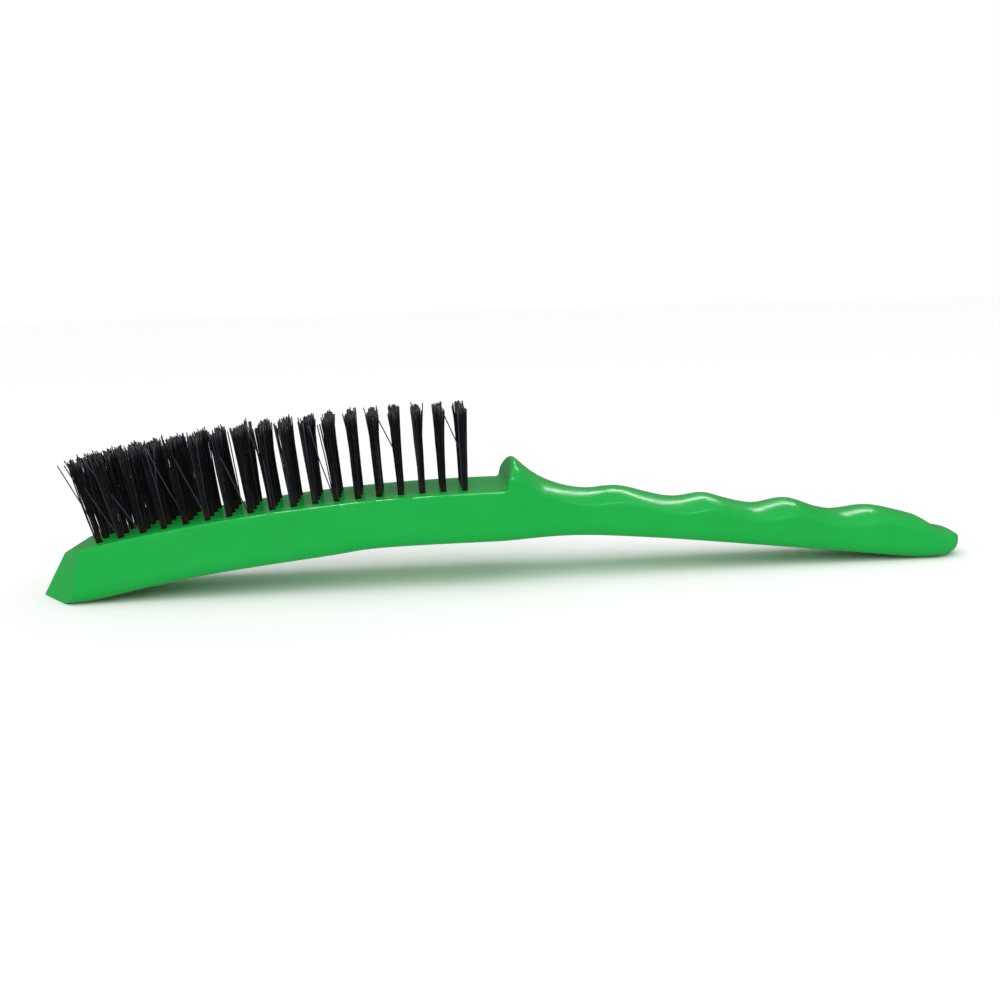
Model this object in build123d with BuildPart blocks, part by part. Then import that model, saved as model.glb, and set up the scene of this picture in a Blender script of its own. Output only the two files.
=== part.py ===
from build123d import *
import math
import os

# A long-handled wire hand brush: a one-piece moulded plastic body, drilled for rows of wire tufts.
# Each tuft is a bundle of wires folded over a flat anchor, which is driven across the hole's bottom.
# Millimetres. X runs from the nose to the handle's end, Y across, and Z up, on the wire side.
# The brush lies on its back: on the flat under its nose and the flat under its handle's end, at Z = 0.

# Overall size
brush_length = 290.0
block_width = 31.4
handle_width = 24.0
end_x = brush_length / 2
blank_x = -end_x - 4.0
blank_top = 45.0

# Back of the block: a flat under the nose, then a long curve up to the level waist
nose_flat_end_x = -131.5
waist_z = 12.45
back_curve = [(nose_flat_end_x, 0), (-127, 0.4), (-118, 2.1), (-95, 6.2), (-54, 10.9), (-14, waist_z)]

# Waist: where the block's width eases into the handle's
waist_start_x = -9.0
waist_end_x = 15.0
waist_widths = [(waist_start_x, 31.4), (-4.5, 31.0), (3.0, 27.7), (11.0, 24.4), (waist_end_x, 24.0)]

# Underside of the handle: a long curve down to a flat under the handle's end
end_flat_x = 132.0
handle_curve = [(waist_end_x, waist_z), (31, 11.6), (56, 9.0), (95, 4.2), (121, 0.9), (end_flat_x, 0)]
round_end_x = end_x - handle_width / 2
underside_corner_radius = 4.0

# Nose: sides that meet in a raked V, and a short steep deck behind the stem
stem_foot_x = -end_x
stem_top = (-137.8, 12.5)
deck_top_x = -132.0
shoulder_foot_x = -131.0
shoulder_rake = 0.2

# Tuft face: a long arc, highest at its rear
face_radius = 600.0
face_top = (-10.0, 28.25)

# Thumb guard: a wall across the body with a crowned top, its front a little hollowed
guard_foot_x = -2.8
guard_scoop_radius = 120.0
guard_scoop_y = 17.0
guard_lean = 12.0

# Crown line along the middle of the grip: the guard, four finger hollows and the low tab at the end
grip_crown = [
    (face_top[0], 37.0),
    (-6.0, 36.9),
    (-1.2, 37.0),
    (3.1, 33.8),
    (8.1, 30.0),
    (14.4, 27.2),
    (25.5, 25.5),
    (31.8, 25.9),
    (38.6, 24.6),
    (45.4, 22.6),
    (54.0, 21.6),
    (61.1, 22.3),
    (67.0, 20.7),
    (72.0, 19.2),
    (79.5, 18.3),
    (88.9, 19.4),
    (94.0, 17.8),
    (99.0, 16.0),
    (105.5, 15.1),
    (115.8, 15.9),
    (125.6, 13.8),
    (131.8, 11.8),
    (134.9, 9.9),
    (137.5, 8.5),
    (140.8, 7.8),
    (143.4, 6.6),
    (end_x + 0.5, 4.9),
]
crown_drop = 3.3
crown_half_width = 11.0
crown_reach = block_width / 2 + 2

# Rounding of the body's upper edges
upper_edge_radius = 1.0

# Tuft holes
row_count = 18
tufts_per_row = 4
row_pitch = 6.41
across_pitch = 6.41
last_row_gap = 5.9
hole_diameter = 2.0
hole_depth = 9.5

# Tufts: straight in the hole, spread a little towards the tips
tuft_clearance = 0.03
tuft_height = 25.0
tuft_tip_diameter = 3.0

# Anchors, wider than the hole so that they bite into the plastic at both sides
anchor_thickness = 0.3
anchor_width = 2.8
anchor_height = 2.0
anchor_depth = 8.0


def face_height(x):
    """Height of the tuft face's arc at x."""
    return face_top[1] - face_radius + math.sqrt(face_radius**2 - (x - face_top[0]) ** 2)


def deck_height(x):
    """Height of the nose deck's straight line at x."""
    slope = (face_height(deck_top_x) - stem_top[1]) / (deck_top_x - stem_top[0])
    return stem_top[1] + slope * (x - stem_top[0])


def row_plane(row):
    """Plane on the tuft face at a row, counted from the nose: its normal is the tufts' direction."""
    angle = -(last_row_gap + (row_count - row) * row_pitch) / face_radius
    x = face_top[0] + face_radius * math.sin(angle)
    return Plane(
        origin=(x, 0, face_height(x)),
        x_dir=(math.cos(angle), 0, -math.sin(angle)),
        z_dir=(math.sin(angle), 0, math.cos(angle)),
    )


def blank_section(half_width, bottom_z, inner_y):
    """Outline of the blank on a cross plane: a flat bottom, rounded lower corners and tall sides."""
    corner_y = half_width - underside_corner_radius
    corner_z = bottom_z + underside_corner_radius
    bend = underside_corner_radius * (1 - math.sqrt(0.5))
    right = [(half_width, corner_z), (half_width - bend, bottom_z + bend), (corner_y, bottom_z)]
    Line((inner_y, bottom_z), right[2])
    ThreePointArc(*right)
    if inner_y < 0:
        ThreePointArc(*[(-y, z) for y, z in right])
        Polyline(right[0], (half_width, blank_top), (-half_width, blank_top), (-half_width, corner_z))
    else:
        Polyline(right[0], (half_width, blank_top), (inner_y, blank_top), (inner_y, bottom_z))


def is_nose_top(edge):
    """The stem and the deck's edges beside it, but not the sides' lower ends."""
    box = edge.bounding_box()
    at_nose = box.max.X < shoulder_foot_x + 3 and box.max.Z > stem_top[1] - 0.1
    return at_nose and box.size.X > 1 and (abs(edge.center().Y) < 0.1 or box.min.Z > stem_top[1] - 0.1)


def is_grip_shoulder(edge):
    """The edges between the grip's crown and its sides, from the guard round the handle's end."""
    box = edge.bounding_box()
    is_long = box.size.X > 2 and box.min.X > waist_start_x
    middle_z = (box.min.Z + box.max.Z) / 2
    is_lower_seam = abs(middle_z - waist_z - underside_corner_radius) < 0.5
    is_upper = box.min.Z > underside_corner_radius + 0.2 and not is_lower_seam
    return is_long and is_upper and (abs(edge.center().Y) > crown_half_width or box.min.X > round_end_x - 1)


os.makedirs("parts", exist_ok=True)
rows = range(1, row_count + 1)

# --- Body: a blank with a rounded underside, then its top is shaped ---
with BuildPart() as brush_body:
    # Block: its section carried along the curve of the back
    half_block = block_width / 2
    with BuildSketch(Plane.YZ.offset(blank_x)):
        with BuildLine():
            blank_section(half_block, 0, underside_corner_radius - half_block)
        make_face()
    with BuildLine(Plane.XZ):
        Line((blank_x, 0), back_curve[0])
        Spline(*back_curve, tangents=((1, 0), (1, 0)))
        Line(back_curve[-1], (waist_start_x, waist_z))
    sweep(normal=(1, 0, 0))
    # Waist
    for x, width in waist_widths:
        with BuildSketch(Plane.YZ.offset(x)):
            with BuildLine():
                blank_section(width / 2, waist_z, underside_corner_radius - width / 2)
            make_face()
    loft()
    # Handle: its section carried along the underside's curve, then turned round the end
    half_handle = handle_width / 2
    with BuildSketch(Plane.YZ.offset(waist_end_x)):
        with BuildLine():
            blank_section(half_handle, waist_z, underside_corner_radius - half_handle)
        make_face()
    with BuildLine(Plane.XZ):
        Spline(*handle_curve, tangents=((1, 0), (1, 0)))
        Line(handle_curve[-1], (round_end_x, 0))
    sweep(normal=(1, 0, 0))
    with BuildSketch(Plane.YZ.offset(round_end_x)):
        with BuildLine():
            blank_section(half_handle, 0, 0)
        make_face()
    revolve(axis=Axis((round_end_x, 0, 0), (0, 0, 1)), revolution_arc=-180)
    # Side view of the top: nose deck and tuft face, left tall over the grip for its crown
    deck_start_x = blank_x - 1
    face_middle_x = (deck_top_x + face_top[0]) / 2
    with BuildSketch(Plane.XZ.offset(-block_width)):
        with BuildLine():
            Line((deck_start_x, deck_height(deck_start_x)), (deck_top_x, face_height(deck_top_x)))
            ThreePointArc(
                (deck_top_x, face_height(deck_top_x)),
                (face_middle_x, face_height(face_middle_x)),
                face_top,
            )
            Polyline(
                face_top,
                (face_top[0], blank_top - 4),
                (end_x + 1, blank_top - 4),
                (end_x + 1, -1),
                (deck_start_x, -1),
                (deck_start_x, deck_height(deck_start_x)),
            )
        make_face()
    extrude(amount=2 * block_width, mode=Mode.INTERSECT)
    # Crown: what lies above an arc, carried along the grip to the end, is cut away
    start_x, start_z = grip_crown[0]
    side_z = start_z - crown_drop * (crown_reach / crown_half_width) ** 2
    with BuildSketch(Plane.YZ.offset(start_x)):
        with BuildLine():
            ThreePointArc((-crown_reach, side_z), (0, start_z), (crown_reach, side_z))
            Polyline(
                (crown_reach, side_z),
                (crown_reach, start_z + blank_top),
                (-crown_reach, start_z + blank_top),
                (-crown_reach, side_z),
            )
        make_face()
    with BuildLine(Plane.XZ):
        Spline(*grip_crown)
    sweep(normal=(1, 0, 0), mode=Mode.SUBTRACT)
    # Guard: hollowed in front, down to the tuft face
    scoop_x = guard_foot_x - guard_scoop_radius + math.sqrt(guard_scoop_radius**2 - guard_scoop_y**2)
    scoop_start_x = face_top[0] - 2
    with BuildSketch(Plane.XY.offset(face_top[1])):
        with BuildLine():
            ThreePointArc((scoop_x, -guard_scoop_y), (guard_foot_x, 0), (scoop_x, guard_scoop_y))
            Polyline(
                (scoop_x, guard_scoop_y),
                (scoop_start_x, guard_scoop_y),
                (scoop_start_x, -guard_scoop_y),
                (scoop_x, -guard_scoop_y),
            )
        make_face()
    extrude(amount=14, taper=-guard_lean, mode=Mode.SUBTRACT)
    # Nose: a V in plan, raked along its stem and a little at its shoulders
    stem_rake = (stem_top[0] - stem_foot_x) / stem_top[1]
    for z in (-5, blank_top):
        stem_x = stem_foot_x + stem_rake * z
        side_x = shoulder_foot_x + shoulder_rake * z
        with BuildSketch(Plane.XY.offset(z)):
            with BuildLine():
                Polyline(
                    (stem_x, 0),
                    (side_x, crown_reach),
                    (end_x + 5, crown_reach),
                    (end_x + 5, -crown_reach),
                    (side_x, -crown_reach),
                    (stem_x, 0),
                )
            make_face()
    loft(ruled=True, mode=Mode.INTERSECT)
    # Rounding: guard foot, tuft face and nose, then the grip's shoulders
    arcs = brush_body.edges().filter_by(GeomType.CIRCLE)
    fillet(arcs.filter_by(lambda edge: abs(edge.radius - guard_scoop_radius) < 0.1), upper_edge_radius)
    arcs = brush_body.edges().filter_by(GeomType.CIRCLE)
    face_sides = arcs.filter_by(lambda edge: abs(edge.radius - face_radius) < 0.1)
    fillet(face_sides + brush_body.edges().filter_by(is_nose_top), upper_edge_radius)
    fillet(brush_body.edges().filter_by(is_grip_shoulder), upper_edge_radius)
    # Tuft holes, with a pocket at both sides of each for its anchor's ends
    for row in rows:
        with BuildSketch(row_plane(row)):
            with GridLocations(0, across_pitch, 1, tufts_per_row):
                Circle(hole_diameter / 2)
        extrude(amount=-hole_depth, mode=Mode.SUBTRACT)
        with BuildSketch(row_plane(row).offset(-anchor_depth)):
            with GridLocations(0, across_pitch, 1, tufts_per_row):
                Rectangle(anchor_thickness, anchor_width)
        extrude(amount=anchor_height / 2, both=True, mode=Mode.SUBTRACT)
brush_body.part.label = "brush_body"
export_step(brush_body.part, "parts/brush_body.step")

# --- Tufts and their anchors: one node of each for every row ---
tuft_profile = [
    (0, -hole_depth),
    (hole_diameter / 2 - tuft_clearance, -hole_depth),
    (hole_diameter / 2 - tuft_clearance, 0.2),
    (tuft_tip_diameter / 2, tuft_height),
    (0, tuft_height),
]
for row in rows:
    plane = row_plane(row)
    with BuildPart(plane) as tuft:
        with BuildSketch(Plane(origin=plane.origin, x_dir=plane.x_dir, z_dir=-plane.y_dir)):
            with BuildLine():
                Polyline(*tuft_profile, close=True)
            make_face()
        revolve(axis=Axis(plane.origin, plane.z_dir))
        with BuildSketch(plane.offset(-anchor_depth)):
            Rectangle(anchor_thickness, anchor_width)
        extrude(amount=anchor_height / 2, both=True, mode=Mode.SUBTRACT)
    with BuildPart(plane) as tuft_row:
        with GridLocations(0, across_pitch, 1, tufts_per_row):
            add(plane.to_local_coords(tuft.part))
    tuft_row.part.label = f"tuft_row_{row:02d}"
    export_step(tuft_row.part, f"parts/tuft_row_{row:02d}.step")

    with BuildPart() as anchor_row:
        with BuildSketch(plane.offset(-anchor_depth)):
            with GridLocations(0, across_pitch, 1, tufts_per_row):
                Rectangle(anchor_thickness, anchor_width)
        extrude(amount=anchor_height / 2, both=True)
    anchor_row.part.label = f"anchor_row_{row:02d}"
    export_step(anchor_row.part, f"parts/anchor_row_{row:02d}.step")
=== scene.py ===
import math
import random

import bmesh
import bpy
from mathutils import Matrix, Vector


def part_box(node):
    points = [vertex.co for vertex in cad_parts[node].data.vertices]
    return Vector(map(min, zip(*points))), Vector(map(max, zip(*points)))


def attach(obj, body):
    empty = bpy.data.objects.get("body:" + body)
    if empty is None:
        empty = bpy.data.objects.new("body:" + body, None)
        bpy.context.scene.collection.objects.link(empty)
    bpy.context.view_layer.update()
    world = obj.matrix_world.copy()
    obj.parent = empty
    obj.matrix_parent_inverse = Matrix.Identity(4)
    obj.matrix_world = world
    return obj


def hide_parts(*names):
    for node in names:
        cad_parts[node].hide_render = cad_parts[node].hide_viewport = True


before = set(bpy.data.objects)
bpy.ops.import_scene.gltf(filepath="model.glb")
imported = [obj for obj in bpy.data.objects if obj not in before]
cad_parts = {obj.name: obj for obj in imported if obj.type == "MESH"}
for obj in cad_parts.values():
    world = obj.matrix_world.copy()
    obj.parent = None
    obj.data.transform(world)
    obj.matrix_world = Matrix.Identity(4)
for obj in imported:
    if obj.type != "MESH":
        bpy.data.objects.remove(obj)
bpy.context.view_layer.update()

# Nodes
ROWS = sorted(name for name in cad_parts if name.startswith("tuft_row_"))
ANCHORS = sorted(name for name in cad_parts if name.startswith("anchor_row_"))

# Tufts and wires, in metres
TUFTS_PER_ROW = 4
ACROSS_PITCH = 0.00641
HOLE_DEPTH = 0.0095
HOLE_RADIUS = 0.001
TIP_BAND = 0.0012
FOOT_BAND = 0.0004
WIRE_RADIUS = 0.00018
WIRE_ROOT = 0.0015
WIRES_PER_TUFT = 26
WIRE_SIDES = 6
WIRE_STEPS = 9
GOLDEN_ANGLE = 2.39996
MILLIMETRE = 0.001
SEED = 41

# How far the wires stray, in metres at their tips
ANGLE_JITTER = 0.3
FAN = (0.2, 0.75)
FAN_POWER = 1.5
TUFT_LEAN = -0.0002
TUFT_LEAN_SPREAD = 0.0003
WIRE_SPREAD = 0.00022
WIRE_CURL = 0.00014
TIP_FLICK = 0.0003
FLICK_FROM = 0.6
LENGTH_SPREAD = 0.0005
OUTER_WEAR = 0.0011
OUTER_WIRES = 0.6

# Wear: the rows nearest the nose are splayed the most
SPLAY_AT_NOSE = 1.9
SPLAY_AT_GRIP = 1.0

# Wires bent away from their tuft: row, tuft, the part of the height where the bend starts,
# and the tip's offset along the brush and across it in millimetres
BENT_WIRES = [
    (18, 0, 0.50, -5.4, -0.3),
    (18, 1, 0.60, 1.4, 0.0),
    (15, 0, 0.55, -4.6, 0.2),
    (16, 1, 0.70, 1.5, 0.3),
    (14, 2, 0.70, -1.3, 0.3),
    (12, 0, 0.05, -5.0, -0.4),
    (11, 1, 0.45, 2.2, 0.2),
    (9, 0, 0.60, -2.0, -0.2),
    (8, 0, 0.02, -7.5, -0.5),
    (7, 1, 0.30, 3.0, -0.6),
    (6, 0, 0.10, -6.5, -0.7),
    (5, 0, 0.25, -5.5, -0.6),
    (4, 0, 0.30, 4.0, -0.8),
    (3, 0, 0.05, -9.5, -0.5),
    (3, 1, 0.40, 2.5, -0.8),
    (2, 0, 0.02, -8.0, -0.3),
    (2, 2, 0.20, 3.5, 0.4),
    (1, 0, 0.30, -3.6, -0.2),
    (1, 0, 0.45, -2.6, 0.3),
    (1, 1, 0.35, -3.0, 0.2),
    (1, 2, 0.25, -2.6, 0.5),
    (1, 3, 0.50, -2.2, 0.4),
]

# Camera: its place in metres, the direction that it looks in and its upward direction
CAMERA_PLACE = Vector((-0.0323, -0.3145, 0.0820))
CAMERA_FORWARD = Vector((0.08666548, 0.97911189, -0.18392662))
CAMERA_UP = Vector((0.04381604, 0.18069645, 0.98256244))
SENSOR_MM = 36.0
LENS_MM = 36.88
NEAREST_SEEN = 0.01

# Floor and lights
FLOOR_SIZE = 60.0
FLOOR_GAP = 0.0002
WHITE = (1, 1, 1, 1)
FLOOR_WHITE = (0.985, 0.985, 0.985, 1)
SURROUND_STRENGTH = 0.55
SURROUND_SEEN_BY = (("Is Glossy Ray", 0.15), ("Is Camera Ray", 1.0))


def node_material(name):
    """A new material, its node tree and its Principled shader."""
    material = bpy.data.materials.new(name)
    material.use_nodes = True
    tree = material.node_tree
    shader = tree.nodes["Principled BSDF"]
    return material, tree, shader


def add_node(tree, kind, **settings):
    """A new node; each setting is one of its attributes or, with spaces for underscores, an input."""
    node = tree.nodes.new(kind)
    for key, value in settings.items():
        if hasattr(node, key):
            setattr(node, key, value)
        else:
            node.inputs[key.replace("_", " ")].default_value = value
    return node


def ramp(tree, source, stops):
    """A colour ramp over a node's output."""
    node = tree.nodes.new("ShaderNodeValToRGB")
    elements = node.color_ramp.elements
    while len(elements) < len(stops):
        elements.new(0.5)
    for element, (place, colour) in zip(elements, stops):
        element.position = place
        element.color = (*colour, 1)
    tree.links.new(source, node.inputs["Fac"])
    return node


def plastic():
    """Green moulded plastic: a slight mottle, fine pebbled surface and a semi-gloss skin."""
    material, tree, shader = node_material("green_plastic")
    place = add_node(tree, "ShaderNodeTexCoord")
    mottle = add_node(tree, "ShaderNodeTexNoise", Scale=60.0, Detail=4.0, Roughness=0.6)
    tree.links.new(place.outputs["Object"], mottle.inputs["Vector"])
    greens = [(0.25, (0.0090, 0.418, 0.060)), (0.75, (0.0115, 0.460, 0.071))]
    colour = ramp(tree, mottle.outputs["Fac"], greens)
    tree.links.new(colour.outputs["Color"], shader.inputs["Base Color"])
    grain = add_node(tree, "ShaderNodeTexNoise", Scale=2200.0, Detail=3.0, Roughness=0.5)
    tree.links.new(place.outputs["Object"], grain.inputs["Vector"])
    wear = add_node(tree, "ShaderNodeTexNoise", Scale=25.0, Detail=5.0, Roughness=0.6)
    tree.links.new(place.outputs["Object"], wear.inputs["Vector"])
    gloss = add_node(tree, "ShaderNodeMapRange", From_Min=0.3, From_Max=0.7, To_Min=0.17, To_Max=0.25)
    tree.links.new(wear.outputs["Fac"], gloss.inputs["Value"])
    tree.links.new(gloss.outputs["Result"], shader.inputs["Roughness"])
    bump = add_node(tree, "ShaderNodeBump", Strength=0.10, Distance=0.00004)
    tree.links.new(grain.outputs["Fac"], bump.inputs["Height"])
    tree.links.new(bump.outputs["Normal"], shader.inputs["Normal"])
    shader.inputs["IOR"].default_value = 1.46
    shader.inputs["Specular IOR Level"].default_value = 0.33
    return material


def wire_steel():
    """Dark oiled steel wire: drawn along its length, bluish black, a little rusty near the block, with a
    painted highlight that makes some wires lighter and bluer.
    """
    material, tree, shader = node_material("dark_wire")
    along = add_node(tree, "ShaderNodeUVMap", uv_map="along_wire")
    parts = add_node(tree, "ShaderNodeSeparateXYZ")
    tree.links.new(along.outputs["UV"], parts.inputs["Vector"])
    place = add_node(tree, "ShaderNodeTexCoord")
    blotch = add_node(tree, "ShaderNodeTexNoise", Scale=700.0, Detail=3.0, Roughness=0.6)
    tree.links.new(place.outputs["Object"], blotch.inputs["Vector"])
    blacks = [(0.3, (0.003, 0.003, 0.006)), (0.62, (0.010, 0.010, 0.015)), (0.8, (0.04, 0.04, 0.052))]
    steel = ramp(tree, blotch.outputs["Fac"], blacks)
    rust = ramp(tree, blotch.outputs["Fac"], [(0.3, (0.030, 0.007, 0.005)), (0.75, (0.085, 0.021, 0.014))])
    near_foot = ramp(tree, parts.outputs["Y"], [(0.04, (1, 1, 1)), (0.22, (0, 0, 0))])
    mixed = tree.nodes.new("ShaderNodeMix")
    mixed.data_type = "RGBA"
    tree.links.new(near_foot.outputs["Color"], mixed.inputs["Factor"])
    tree.links.new(steel.outputs["Color"], mixed.inputs["A"])
    tree.links.new(rust.outputs["Color"], mixed.inputs["B"])
    # Painted highlight: wires with a high UV x are painted a lighter bluish grey in place of the
    # highlights they catch.
    painted_glint_mask = ramp(tree, parts.outputs["X"], [(0.84, (0, 0, 0)), (1.0, (1, 1, 1))])
    painted_glint_colour = tree.nodes.new("ShaderNodeMix")
    painted_glint_colour.data_type = "RGBA"
    tree.links.new(painted_glint_mask.outputs["Color"], painted_glint_colour.inputs["Factor"])
    tree.links.new(mixed.outputs["Result"], painted_glint_colour.inputs["A"])
    painted_glint_colour.inputs["B"].default_value = (0.055, 0.058, 0.085, 1)
    tree.links.new(painted_glint_colour.outputs["Result"], shader.inputs["Base Color"])
    rough = add_node(tree, "ShaderNodeMapRange", From_Min=0.3, From_Max=0.7, To_Min=0.42, To_Max=0.62)
    tree.links.new(blotch.outputs["Fac"], rough.inputs["Value"])
    tree.links.new(rough.outputs["Result"], shader.inputs["Roughness"])
    shader.inputs["Metallic"].default_value = 0.2
    return material


def anchor_steel():
    """Bright drawn flat wire."""
    material, tree, shader = node_material("anchor_wire")
    place = add_node(tree, "ShaderNodeTexCoord")
    drawn = add_node(tree, "ShaderNodeTexNoise", Scale=900.0, Detail=2.0)
    tree.links.new(place.outputs["Object"], drawn.inputs["Vector"])
    colour = ramp(tree, drawn.outputs["Fac"], [(0.3, (0.35, 0.35, 0.36)), (0.7, (0.55, 0.55, 0.56))])
    tree.links.new(colour.outputs["Color"], shader.inputs["Base Color"])
    shader.inputs["Metallic"].default_value = 1.0
    shader.inputs["Roughness"].default_value = 0.35
    return material


def row_frame(name):
    """The middle of a row on the tuft face, the tufts' direction and their height."""
    low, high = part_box(name)
    points = [v.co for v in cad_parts[name].data.vertices]
    middle_z = (low.z + high.z) / 2
    upper = [p for p in points if p.z > middle_z]
    lower = [p for p in points if p.z < middle_z]
    bottom = min(lower, key=lambda p: p.z).z
    tip_points = [p for p in upper if p.z > high.z - TIP_BAND]
    foot_points = [p for p in lower if p.z < bottom + FOOT_BAND]
    tip = sum((Vector((p.x, 0, p.z)) for p in tip_points), Vector()) / len(tip_points)
    foot = sum((Vector((p.x, 0, p.z)) for p in foot_points), Vector()) / len(foot_points)
    direction = (tip - foot).normalized()
    length = (tip - foot).length
    return foot + direction * HOLE_DEPTH, direction, length - HOLE_DEPTH


def add_wire(mesh, uv_layer, route, painted_glint_level):
    """A thin tube along a route of points. UV x is the level of the wire's painted highlight, UV y runs
    from foot to tip.
    """
    rings = []
    for i, point in enumerate(route):
        ahead = route[min(i + 1, len(route) - 1)] - route[max(i - 1, 0)]
        side = ahead.cross(Vector((0, 1, 0))).normalized()
        other = ahead.cross(side).normalized()
        ring = []
        for j in range(WIRE_SIDES):
            angle = math.tau * j / WIRE_SIDES
            offset = side * math.cos(angle) + other * math.sin(angle)
            ring.append(mesh.verts.new(point + offset * WIRE_RADIUS))
        rings.append(ring)
    last = len(rings) - 1
    for i in range(last):
        for j in range(WIRE_SIDES):
            k = (j + 1) % WIRE_SIDES
            face = mesh.faces.new((rings[i][j], rings[i][k], rings[i + 1][k], rings[i + 1][j]))
            face.smooth = True
            heights = (i, i, i + 1, i + 1)
            for loop, height in zip(face.loops, heights):
                loop[uv_layer].uv = (painted_glint_level, height / last)
    for ring, height in ((rings[0][::-1], 0), (rings[-1], 1)):
        face = mesh.faces.new(ring)
        for loop in face.loops:
            loop[uv_layer].uv = (painted_glint_level, height)


def stray(chance, along, across, size):
    """A random offset along and across the brush."""
    return along * chance.gauss(0, size) + across * chance.gauss(0, size)


def tuft_row(name, chance):
    """All wires of one row, in the holes of its CAD node."""
    foot, up, height = row_frame(name)
    along = Vector((up.z, 0, -up.x))
    across = Vector((0, 1, 0))
    row = int(name.rsplit("_", 1)[1])
    toward_nose = (len(ROWS) - row) / (len(ROWS) - 1)
    splay = SPLAY_AT_GRIP + (SPLAY_AT_NOSE - SPLAY_AT_GRIP) * toward_nose**2
    mesh = bmesh.new()
    uv_layer = mesh.loops.layers.uv.new("along_wire")
    for tuft in range(TUFTS_PER_ROW):
        middle = foot + across * ACROSS_PITCH * (tuft - (TUFTS_PER_ROW - 1) / 2)
        lean = along * chance.gauss(TUFT_LEAN, TUFT_LEAN_SPREAD) * splay
        lean = lean + across * chance.gauss(0, TUFT_LEAN_SPREAD)
        bends = [bend for bend in BENT_WIRES if bend[:2] == (row, tuft)]
        for wire in range(WIRES_PER_TUFT):
            packed = math.sqrt((wire + 0.5) / WIRES_PER_TUFT)
            angle = wire * GOLDEN_ANGLE + chance.uniform(-ANGLE_JITTER, ANGLE_JITTER)
            spot = along * math.cos(angle) + across * math.sin(angle)
            start = spot * packed * (HOLE_RADIUS - WIRE_RADIUS)
            spread = spot * packed * chance.uniform(*FAN) * MILLIMETRE
            spread = (spread + stray(chance, along, across, WIRE_SPREAD)) * splay
            curl = stray(chance, along, across, WIRE_CURL) * splay
            flick = stray(chance, along, across, TIP_FLICK)
            reach = height + chance.gauss(0, LENGTH_SPREAD) - OUTER_WEAR * packed * chance.random()
            # A random level for the wire's painted highlight.
            painted_glint_level = chance.random()
            bend_from, bend = 1.0, Vector()
            if bends and packed > OUTER_WIRES:
                _, _, bend_from, bend_along, bend_across = bends.pop()
                bend = (along * bend_along + across * bend_across) * MILLIMETRE
                # A bent wire is painted with the full highlight.
                painted_glint_level = 1.0
            route = []
            for step in range(WIRE_STEPS + 1):
                part = step / WIRE_STEPS
                rise = -WIRE_ROOT + (reach + WIRE_ROOT) * part
                offset = (spread + lean) * part**FAN_POWER + curl * math.sin(math.pi * part)
                offset = offset + flick * max(0, part - FLICK_FROM) / (1 - FLICK_FROM)
                if part > bend_from:
                    offset = offset + bend * (part - bend_from) / (1 - bend_from)
                route.append(middle + start + up * rise + offset)
            add_wire(mesh, uv_layer, route, painted_glint_level)
    data = bpy.data.meshes.new(name + "_wires")
    mesh.to_mesh(data)
    mesh.free()
    piece = bpy.data.objects.new(name + "_wires", data)
    bpy.context.scene.collection.objects.link(piece)
    return piece


def strip_light(name, place, size, power, aim):
    """A rectangular light that shows only as a highlight on glossy surfaces."""
    lamp = bpy.data.lights.new(name, "AREA")
    lamp.shape = "RECTANGLE"
    lamp.size, lamp.size_y = size
    lamp.energy = power
    holder = bpy.data.objects.new(name, lamp)
    holder.location = place
    holder.rotation_euler = (Vector(aim) - Vector(place)).to_track_quat("-Z", "Y").to_euler()
    holder.visible_diffuse = False
    bpy.context.scene.collection.objects.link(holder)


# --- Body and anchors: the CAD shapes, with their materials ---
green = plastic()
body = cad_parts["brush_body"]
body.data.materials.clear()
body.data.materials.append(green)
bright = anchor_steel()
for name in ANCHORS:
    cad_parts[name].data.materials.clear()
    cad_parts[name].data.materials.append(bright)

# --- Wires ---
dark = wire_steel()
chance = random.Random(SEED)
for name in ROWS:
    piece = tuft_row(name, chance)
    piece.data.materials.append(dark)
    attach(piece, "root")
    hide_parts(name)

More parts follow.
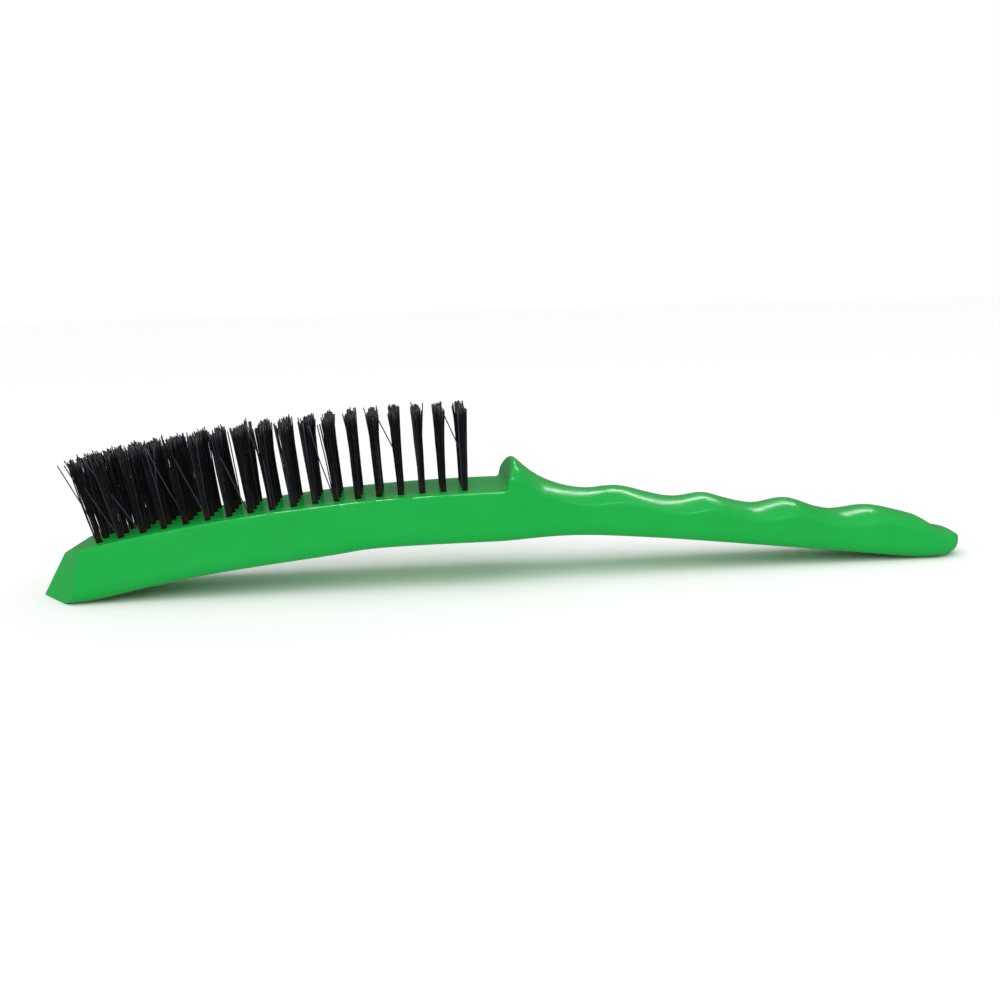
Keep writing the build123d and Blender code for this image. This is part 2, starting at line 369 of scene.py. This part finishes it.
# --- Floor ---
floor_mesh = bpy.data.meshes.new("floor")
floor_build = bmesh.new()
bmesh.ops.create_grid(floor_build, x_segments=1, y_segments=1, size=FLOOR_SIZE)
floor_build.to_mesh(floor_mesh)
floor_build.free()
floor = bpy.data.objects.new("floor", floor_mesh)
floor.location.z = -FLOOR_GAP
floor.visible_glossy = False
bpy.context.scene.collection.objects.link(floor)
white, _, shader = node_material("pale_floor")
shader.inputs["Base Color"].default_value = FLOOR_WHITE
shader.inputs["Roughness"].default_value = 0.9
floor.data.materials.append(white)

# --- Light: a pale surround that reflects darkly, a soft overhead sun and two highlight strips ---
world = bpy.data.worlds.new("studio")
bpy.context.scene.world = world
world.use_nodes = True
nodes, links = world.node_tree.nodes, world.node_tree.links
below = nodes["Background"]
below.inputs["Color"].default_value = WHITE
below.inputs["Strength"].default_value = SURROUND_STRENGTH
ray = nodes.new("ShaderNodeLightPath")
for seen_by, strength in SURROUND_SEEN_BY:
    seen = nodes.new("ShaderNodeBackground")
    seen.inputs["Color"].default_value = WHITE
    seen.inputs["Strength"].default_value = strength
    choice = nodes.new("ShaderNodeMixShader")
    links.new(ray.outputs[seen_by], choice.inputs["Fac"])
    links.new(below.outputs[0], choice.inputs[1])
    links.new(seen.outputs["Background"], choice.inputs[2])
    below = choice
links.new(below.outputs[0], nodes["World Output"].inputs["Surface"])
sky = bpy.data.lights.new("overhead", "SUN")
sky.energy = 1.8
sky.angle = math.radians(100)
overhead = bpy.data.objects.new("overhead", sky)
overhead.rotation_euler = (math.radians(22), math.radians(-5), 0)
overhead.visible_glossy = False
bpy.context.scene.collection.objects.link(overhead)
strip_light("back_strip", (0.22, 0.42, 0.36), (0.26, 0.03), 0.45, (0.07, 0, 0.02))
strip_light("grip_strip", (0.10, -0.05, 0.45), (0.22, 0.025), 1.6, (0.08, 0, 0.02))

# --- Camera ---
camera_data = bpy.data.cameras.new("camera")
camera_data.sensor_width = SENSOR_MM
camera_data.lens = LENS_MM
camera_data.clip_start = NEAREST_SEEN
camera = bpy.data.objects.new("camera", camera_data)
back = -CAMERA_FORWARD.normalized()
right = CAMERA_UP.cross(back).normalized()
true_up = back.cross(right)
turn = Matrix((right, true_up, back)).transposed().to_4x4()
camera.matrix_world = Matrix.Translation(CAMERA_PLACE) @ turn
bpy.context.scene.collection.objects.link(camera)
bpy.context.scene.camera = camera
bpy.context.scene.view_settings.view_transform = "Standard"
